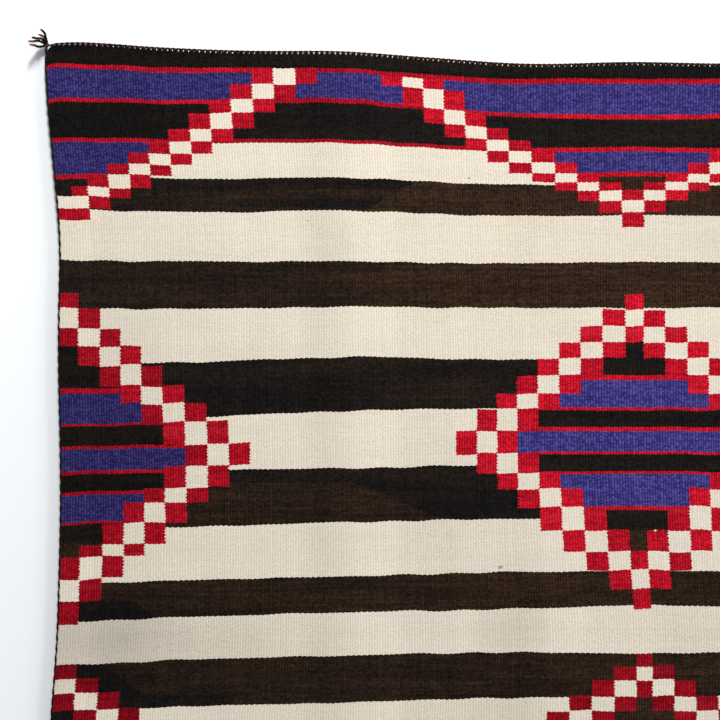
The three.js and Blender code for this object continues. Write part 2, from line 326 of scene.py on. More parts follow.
def make_mesh(name, verts, faces, corners_uv, attributes):
    """An object from points in millimetres, faces of three or four corners, a UV for
    each corner and named vectors for each point."""
    verts = (np.asarray(verts, float) + SHIFT) * MM
    sizes = [f.shape[1] for f in faces for _ in range(len(f))]
    flat = np.concatenate([f.ravel() for f in faces]).astype(np.int32)
    starts = np.r_[0, np.cumsum(sizes)[:-1]].astype(np.int32)
    me = bpy.data.meshes.new(name)
    me.vertices.add(len(verts))
    me.vertices.foreach_set("co", verts.astype(np.float32).ravel())
    me.loops.add(len(flat))
    me.loops.foreach_set("vertex_index", flat)
    me.polygons.add(len(sizes))
    me.polygons.foreach_set("loop_start", starts)
    me.update(calc_edges=True)
    me.shade_smooth()
    layer = me.uv_layers.new(name="OFBake")
    uv = np.concatenate([u.reshape(-1, 2) for u in corners_uv]).astype(np.float32)
    layer.uv.foreach_set("vector", uv.ravel())
    for key, values in attributes.items():
        a = me.attributes.new(key, "FLOAT_VECTOR", "POINT")
        a.data.foreach_set("vector", np.asarray(values, np.float32).ravel())
    if me.validate():
        print("mesh was repaired:", name)
    ob = bpy.data.objects.new(name, me)
    bpy.context.scene.collection.objects.link(ob)
    return ob


class Pile:
    """Collects many small solids into one mesh."""

    def __init__(self):
        self.verts, self.faces, self.uvs, self.data, self.count = [], [], [], [], 0

    def add(self, verts, faces, uvs, data):
        self.verts.append(verts)
        self.data.append(data)
        for f, u in zip(faces, uvs):
            self.faces.append(f + self.count)
            self.uvs.append(u)
        self.count += len(verts)

    def make(self, name, key):
        quads = [i for i, f in enumerate(self.faces) if f.shape[1] == 4]
        tris = [i for i, f in enumerate(self.faces) if f.shape[1] == 3]
        order = quads + tris
        return make_mesh(
            name,
            np.concatenate(self.verts),
            [self.faces[i] for i in order],
            [self.uvs[i] for i in order],
            {key: np.concatenate(self.data)},
        )


def tube(pile, path, radius, sides, uv_box, data, flat=1.0):
    """A closed round strand along a path. radius may vary along it, flat squeezes it
    upright, uv_box is its own part of the map, data one vector for each path point."""
    path = np.asarray(path, float)
    n = len(path)
    radius = np.broadcast_to(np.asarray(radius, float), (n,))
    along = np.gradient(path, axis=0)
    along /= np.linalg.norm(along, axis=1, keepdims=True)
    side = np.cross([0.0, 0.0, 1.0], along)
    weak = np.linalg.norm(side, axis=1) < 1e-6
    side[weak] = [1.0, 0.0, 0.0]
    side /= np.linalg.norm(side, axis=1, keepdims=True)
    top = np.cross(along, side)
    a = 2 * np.pi * np.arange(sides) / sides
    ring = (
        path[:, None]
        + radius[:, None, None] * (np.cos(a)[None, :, None] * side[:, None] + flat * np.sin(a)[None, :, None] * top[:, None])
    )
    ends = np.stack([path[0] - along[0] * radius[0] * 0.6, path[-1] + along[-1] * radius[-1] * 0.6])
    verts = np.concatenate([ring.reshape(-1, 3), ends])
    i, k = np.meshgrid(np.arange(n - 1), np.arange(sides), indexing="ij")
    nxt = (k + 1) % sides
    quads = np.stack([i * sides + k, i * sides + nxt, (i + 1) * sides + nxt, (i + 1) * sides + k], -1).reshape(-1, 4)
    u0, v0, u1, v1 = uv_box
    cap = (v1 - v0) * 0.02
    run = np.r_[0, np.cumsum(np.linalg.norm(np.diff(path, axis=0), axis=1))]
    run = v0 + cap + (v1 - v0 - 2 * cap) * run / max(run[-1], 1e-9)
    round_ = u0 + (u1 - u0) * np.arange(sides + 1) / sides
    uq = np.stack([
        np.stack([round_[k], run[i]], -1), np.stack([round_[k + 1], run[i]], -1),
        np.stack([round_[k + 1], run[i + 1]], -1), np.stack([round_[k], run[i + 1]], -1),
    ], 2).reshape(-1, 4, 2)
    k = np.arange(sides)
    nxt = (k + 1) % sides
    mid = (round_[:-1] + round_[1:]) / 2
    first = np.stack([np.full(sides, n * sides), nxt, k], -1)
    last = np.stack([np.full(sides, n * sides + 1), (n - 1) * sides + k, (n - 1) * sides + nxt], -1)
    uf = np.stack([np.stack([mid, np.full(sides, v0)], -1), np.stack([round_[1:], np.full(sides, run[0])], -1),
                   np.stack([round_[:-1], np.full(sides, run[0])], -1)], 1)
    ul = np.stack([np.stack([mid, np.full(sides, v1)], -1), np.stack([round_[:-1], np.full(sides, run[-1])], -1),
                   np.stack([round_[1:], np.full(sides, run[-1])], -1)], 1)
    data = np.asarray(data, float)
    pile.add(verts, [quads, first, last], [uq, uf, ul],
             np.concatenate([np.repeat(data, sides, axis=0), data[[0, -1]]]))


def resample(path, step):
    path = np.asarray(path, float)
    run = np.r_[0, np.cumsum(np.linalg.norm(np.diff(path, axis=0), axis=1))]
    count = max(int(round(run[-1] / step)), 2) + 1
    at = np.linspace(0, run[-1], count)
    return np.stack([np.interp(at, run, path[:, i]) for i in range(3)], -1), at


def plies(pile, path, at, ply_radius, twist_radius, pitch, phase, sides, columns, tint, squeeze=1.0):
    """Two plies twisted round a path. columns are the two parts of the map they take."""
    along = np.gradient(path, axis=0)
    along /= np.linalg.norm(along, axis=1, keepdims=True)
    side = np.cross([0.0, 0.0, 1.0], along)
    side /= np.linalg.norm(side, axis=1, keepdims=True)
    top = np.cross(along, side)
    for n, box in enumerate(columns):
        a = phase + np.pi * n + 2 * np.pi * at / pitch
        strand = path + (twist_radius * np.cos(a))[:, None] * side + squeeze * (twist_radius * np.sin(a))[:, None] * top
        data = np.stack([at, a, np.broadcast_to(tint, at.shape)], -1)
        tube(pile, strand, ply_radius, sides, box, data)


# ---- the woven panel --------------------------------------------------------------

rib_columns = 2 * RIBS * PER_RIB
U = np.arange(rib_columns + 1) / PER_RIB - RIBS
S = U / RIBS


def rib_drift(y):
    """How far each rib sits from even spacing at heights y, one for each rib column."""
    t = place_t(S, y)
    columns = []
    for n, _ in enumerate(DRIFT_HEIGHTS, start=1):
        other = RIGHT_DRIFT + [[-v for v in r] for r in RIB_DRIFT[::-1] if -r[0] > RIGHT_DRIFT[-1][0]]
        ribs = [r[0] for r in RIB_DRIFT] + [r[0] for r in other]
        far = [r[n] for r in RIB_DRIFT] + [r[n] for r in other]
        columns.append(smooth_table(ribs, far, U))
    top, mid, bottom = columns
    up = ease(t, DRIFT_HEIGHTS["mid"], DRIFT_HEIGHTS["top"])
    down = 1 - ease(t, DRIFT_HEIGHTS["bottom"], DRIFT_HEIGHTS["mid"])
    return mid + (top - mid) * up + (bottom - mid) * down


settle = waves(11, 7, (60, 260), (180, 700))


def line_heights():
    lines = np.zeros((LAST_LINE + 1, len(U)))
    lines[0] = HALF_HEIGHT + bow("top", S)
    lines[LAST_LINE] = -HALF_HEIGHT - bow("bottom", S)
    for number, *heights in WEFT_LINES:
        base = across(heights, HALF_WIDTH * S)
        from_side = HALF_WIDTH * (1 - np.abs(S))
        dip = SELVEDGE_DIP.get(number, 0.0) * np.exp(-from_side / DIP_RUN)
        lines[number] = base + 1.0 * settle(HALF_WIDTH * S, base) - dip
    return lines


def weave_rows():
    """The mesh's rows: each line of the ground, and one more in each tall band."""
    rows = []
    for n in range(LAST_LINE):
        rows.append(float(n))
        if n in SPLIT:
            rows.append(n + 0.5)
    return np.array(rows + [float(LAST_LINE)])


LINES = line_heights()
ROWS = weave_rows()
brown_lines = np.zeros_like(LINES) + 0.04
for number, shades in BROWN.items():
    brown_lines[number] = across(shades, HALF_WIDTH * S)


def at_row(table, row):
    n = int(min(math.floor(row), LAST_LINE - 1))
    return table[n] + (table[n + 1] - table[n]) * (row - n)


def weave_points():
    rng = np.random.default_rng(5)
    valley = np.arange(len(U)) % PER_RIB == 0
    rib = np.minimum(np.arange(len(U)) // PER_RIB, 2 * RIBS - 1)
    parity = np.where(rib % 2 == 0, 1.0, -1.0)
    eager = rng.uniform(0.25, 1.35, (len(ROWS), 2 * RIBS))
    wander = rng.normal(0, 1, (len(ROWS), 2 * RIBS + 1))
    for _ in range(3):  # neighbours along a rib stay close
        wander[1:-1] = (wander[:-2] + 2 * wander[1:-1] + wander[2:]) / 4
    stout = rng.uniform(0.82, 1.12, 2 * RIBS)[rib]
    pucker = waves(23, 9, (70, 240), (60, 260))
    x, y, brown = [], [], []
    for j, row in enumerate(ROWS):
        yy = at_row(LINES, row).copy()
        xx = plan_x(S, yy) + rib_drift(yy)
        sway = np.interp(np.arange(len(U)) / PER_RIB, np.arange(2 * RIBS + 1), wander[j])
        inner = (np.abs(S) < 0.999) * 1.0
        if 0 < j < len(ROWS) - 1:
            xx = xx + 0.5 * sway * inner
            flip = 1.0 if rng.random() < 0.5 else -1.0
            yy = yy + np.where(valley, 0.0, SCALLOP * flip * parity * eager[j][rib])
        x.append(xx)
        y.append(yy)
        brown.append(at_row(brown_lines, row))
    x, y = np.array(x), np.array(y)
    # The corners are turned, not square.
    for row, up in ((0, -1.0), (len(ROWS) - 1, 1.0)):
        from_side = np.minimum(x[row] - x[row, 0], x[row, -1] - x[row])
        d = np.clip(CORNER_ROUND - from_side, 0, CORNER_ROUND)
        y[row] += up * (CORNER_ROUND - np.sqrt(CORNER_ROUND ** 2 - d ** 2))
    high = lift(x, y)
    uneven = 0.32 * np.clip(1 + pucker(x, y), 0, 2) * ease(HALF_WIDTH - np.abs(x), -20, 60)
    depth = np.where(valley, RIB_DEPTH, 0.0) - 0.10 * (stout - 1)
    top = high + uneven + THICKNESS - depth
    under = high + uneven + np.where(valley, RIB_DEPTH, 0.02)
    return x, y, top, under, np.array(brown)


def woven_panel():
    x, y, top, under, brown = weave_points()
    rows, cols = x.shape
    count = rows * cols
    points = np.concatenate([
        np.stack([x, y, top], -1).reshape(-1, 3),
        np.stack([x, y, under], -1).reshape(-1, 3),
    ])
    weave = np.stack([np.broadcast_to(U, x.shape), np.broadcast_to(ROWS[:, None], x.shape), brown], -1).reshape(-1, 3)
    j, i = np.meshgrid(np.arange(rows - 1), np.arange(cols - 1), indexing="ij")
    a = (j * cols + i).ravel()
    b, c, d = a + 1, a + cols + 1, a + cols  # rows run from the top edge down
    over = np.stack([a, d, c, b], -1)
    below = np.stack([a, b, c, d], -1) + count
    margin = 0.004
    px = margin + (1 - 2 * margin) * (x - x.min()) / np.ptp(x)
    py = margin + (1 - 2 * margin) * (y - y.min()) / np.ptp(y)
    flat = np.stack([px, py], -1).reshape(-1, 2)
    faces, uvs = [over, below], [flat[over], flat[below - count]]
    # The rim's walls take the thin strip of the map outside the panel's own place.
    push = {"top": (0, 0.0035), "bottom": (0, -0.0035), "left": (-0.0035, 0), "right": (0.0035, 0)}
    edges = {
        "top": np.arange(cols),
        "bottom": (rows - 1) * cols + np.arange(cols)[::-1],
        "left": np.arange(rows)[::-1] * cols,
        "right": np.arange(rows) * cols + cols - 1,
    }
    for edge, line in edges.items():
        p, q = line[:-1], line[1:]
        wall = np.stack([p, q, q + count, p + count], -1)
        out = np.asarray(push[edge])
        faces.append(wall)
        uvs.append(np.stack([flat[p], flat[q], flat[q] + out, flat[p] + out], 1))
    ob = make_mesh("blanket_weave", points, faces, uvs, {"weave": np.concatenate([weave, weave])})
    ob.data.set_sharp_from_angle(angle=math.radians(62))
    return ob, (x, y, top, under)


panel, GRID = woven_panel()


# ---- edges: cords, weft turns and warp loops ----------------------------------------

def rim_path(edge):
    """The panel's rim on one edge, from left to right or from bottom to top, at the
    underside, with the outward direction at each point."""
    x, y, top, under = GRID
    if edge in ("top", "bottom"):
        row = 0 if edge == "top" else -1
        line = np.stack([x[row], y[row]], -1)
        high = lift(x[row], y[row])
    else:
        col = 0 if edge == "left" else -1
        line = np.stack([x[::-1, col], y[::-1, col]], -1)
        high = lift(line[:, 0], line[:, 1])
    path, at = resample(np.column_stack([line, high]), 1.0)
    # a light smoothing takes out the corners of the mesh
    for _ in range(6):
        path[1:-1] = (path[:-2] + 2 * path[1:-1] + path[2:]) / 4
    along = np.gradient(path, axis=0)
    along[:, 2] = 0
    along /= np.linalg.norm(along, axis=1, keepdims=True)
    left = np.stack([-along[:, 1], along[:, 0], np.zeros(len(along))], -1)
    out = left if edge in ("top", "left") else -left
    return path, at, out


def knot_middle(corner):
    """The knot sits where the panel's corner would be if it were not turned."""
    s = -1.0 if corner.endswith("left") else 1.0
    t = 1.0 if corner.startswith("top") else -1.0
    x = s * (HALF_WIDTH + bow("left" if s < 0 else "right", t))
    y = t * (HALF_HEIGHT + bow("top" if t > 0 else "bottom", s))
    return np.array([float(x), float(y), 3.6 + float(lift(np.array(x), np.array(y)))])


CORD = {
    # ply radius, radius of the twist, pitch, phase, reach out from the rim, and how far
    # along the rim the cord leaves it for the corner's knot
    "top": {"ply": 0.92, "twist": 0.72, "pitch": 15.9, "phase": 0.4, "reach": 1.7, "from": 12.0},
    "bottom": {"ply": 0.92, "twist": 0.72, "pitch": 15.9, "phase": 1.1, "reach": 1.7, "from": 12.0},
    "left": {"ply": 0.94, "twist": 0.96, "pitch": 32.0, "phase": 0.2, "reach": 1.35, "from": 1.0},
    "right": {"ply": 0.94, "twist": 0.96, "pitch": 32.0, "phase": 2.0, "reach": 1.35, "from": 1.0},
}


def edge_cord(edge):
    """A twisted two-ply cord along one edge, run on into the knots at its two ends."""
    spec = CORD[edge]
    path, at, out = rim_path(edge)
    path = path + out * spec["reach"]
    path[:, 2] += spec["ply"] + spec["twist"] * 0.9
    keep = (at > spec["from"]) & (at < at[-1] - spec["from"])
    path = path[keep]
    ends = (f"{edge}_left", f"{edge}_right") if edge in ("top", "bottom") else (f"bottom_{edge}", f"top_{edge}")
    first, last = (knot_middle(e) for e in ends)

    def lead(start, knot):
        f = np.linspace(0, 1, 7)[1:, None]
        way = start * (1 - f) + knot * f
        bulge = 1.1 * np.sin(np.pi * f[:, 0])
        mid = np.array([0.0, 0.0, 0.5])
        return way + bulge[:, None] * mid

    path = np.concatenate([lead(path[0], first)[::-1], path, lead(path[-1], last)])
    path, at = resample(path, 1.5 if edge in ("top", "bottom") else 2.0)
    for _ in range(3):
        path[1:-1] = (path[:-2] + 2 * path[1:-1] + path[2:]) / 4
    rng = np.random.default_rng({"top": 41, "bottom": 42, "left": 43, "right": 44}[edge])
    slack = np.cumsum(rng.normal(0, 0.012, len(at)))
    pile = Pile()
    at = at + slack * spec["pitch"] / (2 * np.pi)
    plies(pile, path, at, spec["ply"], spec["twist"], spec["pitch"],
          spec["phase"], 7, [(0.01, 0.005, 0.49, 0.995), (0.51, 0.005, 0.99, 0.995)], 0.0, 0.9)
    return pile.make(f"{'end' if edge in ('top', 'bottom') else 'side'}_cord_{edge}_twist", "strand"), path, at


def bead(pile, centre, axes, radii, uv_box, data, rings=5, sides=7):
    """A small closed oval of yarn: axes are three unit vectors, radii their half sizes."""
    phi = np.pi * (np.arange(1, rings)) / rings
    th = 2 * np.pi * np.arange(sides) / sides
    axes = np.asarray(axes, float)
    local = np.stack([
        np.repeat(np.cos(phi), sides),
        np.outer(np.sin(phi), np.cos(th)).ravel(),
        np.outer(np.sin(phi), np.sin(th)).ravel(),
    ], -1)
    local = np.concatenate([local, [[1, 0, 0], [-1, 0, 0]]]) * np.asarray(radii)
    verts = centre + local @ axes
    n = rings - 1
    i, k = np.meshgrid(np.arange(n - 1), np.arange(sides), indexing="ij")
    nxt = (k + 1) % sides
    quads = np.stack([i * sides + k, (i + 1) * sides + k, (i + 1) * sides + nxt, i * sides + nxt], -1).reshape(-1, 4)
    u0, v0, u1, v1 = uv_box
    gu = u0 + (u1 - u0) * np.arange(sides + 1) / sides
    gv = v0 + (v1 - v0) * np.arange(1, rings) / rings
    uq = np.stack([
        np.stack([gu[k], gv[i]], -1), np.stack([gu[k], gv[i + 1]], -1),
        np.stack([gu[k + 1], gv[i + 1]], -1), np.stack([gu[k + 1], gv[i]], -1),
    ], 2).reshape(-1, 4, 2)
    k = np.arange(sides)
    nxt = (k + 1) % sides
    mid = (gu[:-1] + gu[1:]) / 2
    first = np.stack([np.full(sides, n * sides), k, nxt], -1)
    last = np.stack([np.full(sides, n * sides + 1), (n - 1) * sides + nxt, (n - 1) * sides + k], -1)
    uf = np.stack([np.stack([mid, np.full(sides, v0)], -1), np.stack([gu[:-1], np.full(sides, gv[0])], -1),
                   np.stack([gu[1:], np.full(sides, gv[0])], -1)], 1)
    ul = np.stack([np.stack([mid, np.full(sides, v1)], -1), np.stack([gu[1:], np.full(sides, gv[-1])], -1),
                   np.stack([gu[:-1], np.full(sides, gv[-1])], -1)], 1)
    pile.add(verts, [quads, first, last], [uq, uf, ul], np.tile(np.asarray(data, float), (len(verts), 1)))


def weft_turns(edge, cord_path, cord_at):
    """The weft's turns round a side cord: one small loop for each pair of picks, in the
    colour of the band it belongs to, drawn in where the cord's ply lies inside."""
    spec = CORD[edge]
    path, at, out = rim_path(edge)
    col = 0 if edge == "left" else -1
    heights, rows = GRID[1][::-1, col], ROWS[::-1]
    rng = np.random.default_rng(61 if edge == "left" else 62)
    pile = Pile()
    places = np.arange(6.0, at[-1] - 6.0, PICK)
    for n, p in enumerate(places):
        p = p + rng.uniform(-0.25, 0.25)
        centre = np.array([np.interp(p, at, path[:, i]) for i in range(3)])
        o = np.array([np.interp(p, at, out[:, i]) for i in range(3)])
        o /= np.linalg.norm(o)
        along = np.array([-o[1], o[0], 0.0])
        near = np.argmin((cord_path[:, 0] - centre[0]) ** 2 + (cord_path[:, 1] - centre[1]) ** 2)
        turn = spec["phase"] + 2 * np.pi * cord_at[near] / spec["pitch"]
        # each ply lies on the outside in turn, and the loops reach out past the other
        inside = abs(math.cos(turn))
        reach = 1.25 + 0.55 * (1 - inside) + rng.uniform(-0.12, 0.12)
        row = float(np.interp(centre[1], heights, rows))
        brown = float(at_row(brown_lines, row)[col])
        tilt = rng.uniform(-0.2, 0.2)
        axes = [o * math.cos(tilt) + along * math.sin(tilt), along * math.cos(tilt) - o * math.sin(tilt), [0, 0, 1]]
        box = (0.01, 0.002 + 0.996 * n / len(places), 0.99, 0.002 + 0.996 * (n + 0.92) / len(places))
        bead(pile, centre + o * (reach - 1.3) + np.array([0, 0, 1.36]), axes, (1.5, 1.18, 1.32), box,
             (U[col] * 0.999, row, brown))
    return pile.make(f"weft_turns_{edge}", "weave")


def warp_loops(edge):
    """The warp's pale loops that show between the twists of an end cord, one for each
    two ribs, some of them pulled in and dull."""
    x, y, top, under = GRID
    row = 0 if edge == "top" else -1
    up = 1.0 if edge == "top" else -1.0
    rng = np.random.default_rng(71 if edge == "top" else 72)
    pile = Pile()
    starts = np.arange(6, 2 * RIBS - 5, 2)
    steps = 8
    f = np.linspace(0, 1, steps)
    for n, r in enumerate(starts):
        column = r * PER_RIB
        base = np.array([x[row, column], y[row, column], lift(x[row, column], y[row, column])])
        base[0] += rng.uniform(-0.6, 0.6)
        lean = rng.uniform(0.3, 1.3)
        size = rng.choice([1.0, 0.88, 0.72, 0.5], p=[0.34, 0.26, 0.22, 0.18])
        dull = rng.choice([0.0, 0.35, 0.8], p=[0.42, 0.28, 0.30]) if 6 <= n < len(starts) - 6 else 0.9
        way = np.stack([
            base[0] + lean * (f - 0.4),
            base[1] + up * (-2.3 + (1.0 + 1.3 * size) * f),
            base[2] + 2.1 + 1.05 * np.sin(np.pi * (0.10 + 0.80 * f)) - 0.4 * (1 - size),
        ], -1)
        thick = 0.78 * size * np.sin(np.pi * (0.14 + 0.74 * f)) ** 0.55
        box = (0.01, 0.002 + 0.996 * n / len(starts), 0.99, 0.002 + 0.996 * (n + 0.92) / len(starts))
        data = np.stack([f * 4, np.full(steps, float(n)), np.full(steps, dull)], -1)
        tube(pile, way, thick, 7, box, data)
    return pile.make(f"warp_loops_{edge}", "strand")


cords = {}
for edge in ("top", "bottom", "left", "right"):
    cords[edge] = edge_cord(edge)
turns = {edge: weft_turns(edge, cords[edge][1], cords[edge][2]) for edge in ("left", "right")}
loops = {edge: warp_loops(edge) for edge in ("top", "bottom")}


# ---- corner tassels -------------------------------------------------------------------

def tassel(corner):
    """A tight knot with five twisted cord ends splayed from it, each frayed at its tip."""
    rng = np.random.default_rng({"top_left": 81, "top_right": 82, "bottom_left": 83, "bottom_right": 84}[corner])
    middle = knot_middle(corner)
    pile = Pile()
    steps = 72
    a = np.linspace(0, 2 * np.pi, steps + 1)
    wrap = 1.9 + 0.95 * np.cos(3 * a)
    turn = rng.uniform(0, 2 * np.pi)
    knot = middle + np.stack([
        wrap * np.cos(2 * a + turn),
        wrap * np.sin(2 * a + turn),
        1.15 * np.sin(3 * a),
    ], -1)
    tube(pile, knot, 1.32, 8, (0.01, 0.01, 0.12, 0.99),
         np.stack([np.linspace(0, 40, steps + 1), np.zeros(steps + 1), np.full(steps + 1, 0.1)], -1))
    for n, (heading, reach, rise, bend, tan) in enumerate(STRANDS[corner]):
        h = math.radians(heading)
        ahead = np.array([math.cos(h), math.sin(h), 0.0])
        beside = np.array([-ahead[1], ahead[0], 0.0])
        f = np.linspace(0, 1, 25)
        kink = rng.choice([-1.0, 1.0]) * rng.uniform(0.5, 1.0)
        sway = bend * np.sin(np.pi * f ** 0.9) + kink * f * np.sin(3.4 * np.pi * f)
        way = middle + ahead * (0.6 + (reach - 2.2) * f)[:, None] + beside * sway[:, None]
        way[:, 2] = middle[2] + 0.4 + rise * f ** 2
        path, at = resample(way, 0.8)
        g = at / at[-1]
        left = 0.14 + 0.17 * n
        tint = np.clip((g - 0.62) / 0.38, 0, 1) * tan + 0.02 * rng.uniform(0, 1)
        plies(pile, path, at, 0.98 + 0.30 * np.sin(np.pi * (0.05 + 0.75 * g)), 0.86 - 0.10 * g, 8.6, rng.uniform(0, 6.28), 6,
              [(left, 0.01, left + 0.05, 0.99), (left + 0.055, 0.01, left + 0.105, 0.99)], tint)
        tip_ahead = path[-1] - path[-4]
        tip_ahead /= np.linalg.norm(tip_ahead)
        for k in range(9):  # frayed fibres at the tip
            aim = tip_ahead + beside * rng.normal(0, 0.34) + np.array([0, 0, rng.normal(0, 0.25)])
            root = path[-1] - tip_ahead * rng.uniform(0.2, 2.4) + beside * rng.normal(0, 0.5)
            q = np.linspace(0, 1, 6)[:, None]
            hair = root + aim * rng.uniform(1.8, 3.8) * q + beside * (rng.normal(0, 0.4) * q ** 2)
            col = left + 0.112 + 0.005 * k
            shade = float(tint[-1]) * rng.uniform(0.6, 1.2) + 0.05
            tube(pile, hair, 0.26 - 0.16 * q[:, 0], 4, (col, 0.02, col + 0.004, 0.98),
                 np.stack([q[:, 0] * 4, np.full(6, float(k)), np.full(6, shade)], -1))
    return pile.make(f"tassel_{corner}_yarn", "strand")


tassels = {corner: tassel(corner) for corner in STRANDS}


# ---- materials ---------------------------------------------------------------------------

def linear(rgb):
    return tuple(v / 255 / 12.92 if v / 255 <= 0.04045 else ((v / 255 + 0.055) / 1.055) ** 2.4 for v in rgb)


class Value:
    """A number that a material works out at each point."""

    def __init__(self, graph, socket):
        self.graph, self.socket = graph, socket

    def op(self, name, *others, clamp=False):
        return self.graph.math(name, self, *others, clamp=clamp)

    def __add__(self, o): return self.op("ADD", o)
    __radd__ = __add__
    def __sub__(self, o): return self.op("SUBTRACT", o)
    def __rsub__(self, o): return self.graph.math("SUBTRACT", o, self)
    def __mul__(self, o): return self.op("MULTIPLY", o)
    __rmul__ = __mul__
    def __truediv__(self, o): return self.op("DIVIDE", o)
    def above(self, o): return self.op("GREATER_THAN", o)
    def below(self, o): return self.op("LESS_THAN", o)
    def is_(self, o): return self.op("COMPARE", o, 0.25)
    def floor(self): return self.op("FLOOR")
    def ceil(self): return self.op("CEIL")
    def fract(self): return self.op("FRACT")
    def abs(self): return self.op("ABSOLUTE")
    def mod(self, o): return self.op("FLOORED_MODULO", o)
    def least(self, o): return self.op("MAXIMUM", o)
    def most(self, o): return self.op("MINIMUM", o)
    def power(self, o): return self.op("POWER", o)
    def to(self, other, by): return self + (other - self) * by
    def clamped(self): return self.op("ADD", 0.0, clamp=True)


class Graph:
    def __init__(self, name):
        self.material = bpy.data.materials.new(name)
        self.material.use_nodes = True
        self.tree = self.material.node_tree
        self.shader = self.tree.nodes["Principled BSDF"]

    def node(self, kind, **settings):
        n = self.tree.nodes.new(kind)
        for key, value in settings.items():
            setattr(n, key, value)
        return n

    def feed(self, socket, value):
        if isinstance(value, Value):
            self.tree.links.new(value.socket, socket)
        elif isinstance(value, bpy.types.NodeSocket):
            self.tree.links.new(value, socket)
        elif isinstance(value, (tuple, list)) and len(socket.default_value) == 4:
            socket.default_value = (*value, 1.0)
        else:
            socket.default_value = value

    def math(self, name, *values, clamp=False):
        n = self.node("ShaderNodeMath", operation=name, use_clamp=clamp)
        for socket, value in zip(n.inputs, values):
            self.feed(socket, value)
        return Value(self, n.outputs[0])

    def attribute(self, name):
        n = self.node("ShaderNodeAttribute", attribute_name=name)
        parts = self.node("ShaderNodeSeparateXYZ")
        self.tree.links.new(n.outputs["Vector"], parts.inputs[0])
        return [Value(self, o) for o in parts.outputs]

    def place(self):
        n = self.node("ShaderNodeTexCoord")
        parts = self.node("ShaderNodeSeparateXYZ")
        self.tree.links.new(n.outputs["Object"], parts.inputs[0])
        return [Value(self, o) for o in parts.outputs]

    def vector(self, *xyz):
        n = self.node("ShaderNodeCombineXYZ")
        for socket, value in zip(n.inputs, xyz):
            self.feed(socket, value)
        return n.outputs[0]

    def noise(self, vector, detail=2.0, scale=1.0, rough=0.5):
        n = self.node("ShaderNodeTexNoise")
        self.feed(n.inputs["Vector"], vector)
        n.inputs["Scale"].default_value = scale
        n.inputs["Detail"].default_value = detail
        n.inputs["Roughness"].default_value = rough
        return Value(self, n.outputs[0])

    def chance(self, vector):
        n = self.node("ShaderNodeTexWhiteNoise", noise_dimensions="3D")
        self.feed(n.inputs["Vector"], vector)
        return Value(self, n.outputs["Value"])

    def ramp(self, value, low, high, low_to=0.0, high_to=1.0):
        n = self.node("ShaderNodeMapRange", interpolation_type="SMOOTHSTEP")
        for socket, v in zip(n.inputs, (value, low, high, low_to, high_to)):
            self.feed(socket, v)
        return Value(self, n.outputs[0])

    def mix(self, by, a, b):
        n = self.node("ShaderNodeMix", data_type="RGBA")
        n.clamp_factor = True
        self.feed(n.inputs[0], by)
        for socket, value in ((n.inputs[6], a), (n.inputs[7], b)):
            self.feed(socket, value)
        return n.outputs[2]

    def scaled(self, colour, by):
        n = self.node("ShaderNodeVectorMath", operation="SCALE")
        self.tree.links.new(colour, n.inputs[0])
        self.feed(n.inputs["Scale"], by)
        return n.outputs[0]

    def bump(self, height, strength, distance):
        n = self.node("ShaderNodeBump")
        n.inputs["Strength"].default_value = strength
        n.inputs["Distance"].default_value = distance
        self.feed(n.inputs["Height"], height)
        self.tree.links.new(n.outputs[0], self.shader.inputs["Normal"])


def wool(shader, sheen, rough_sheen=0.5):
    shader.inputs["Specular IOR Level"].default_value = 0.03
    shader.inputs["Sheen Weight"].default_value = sheen
    shader.inputs["Sheen Roughness"].default_value = rough_sheen


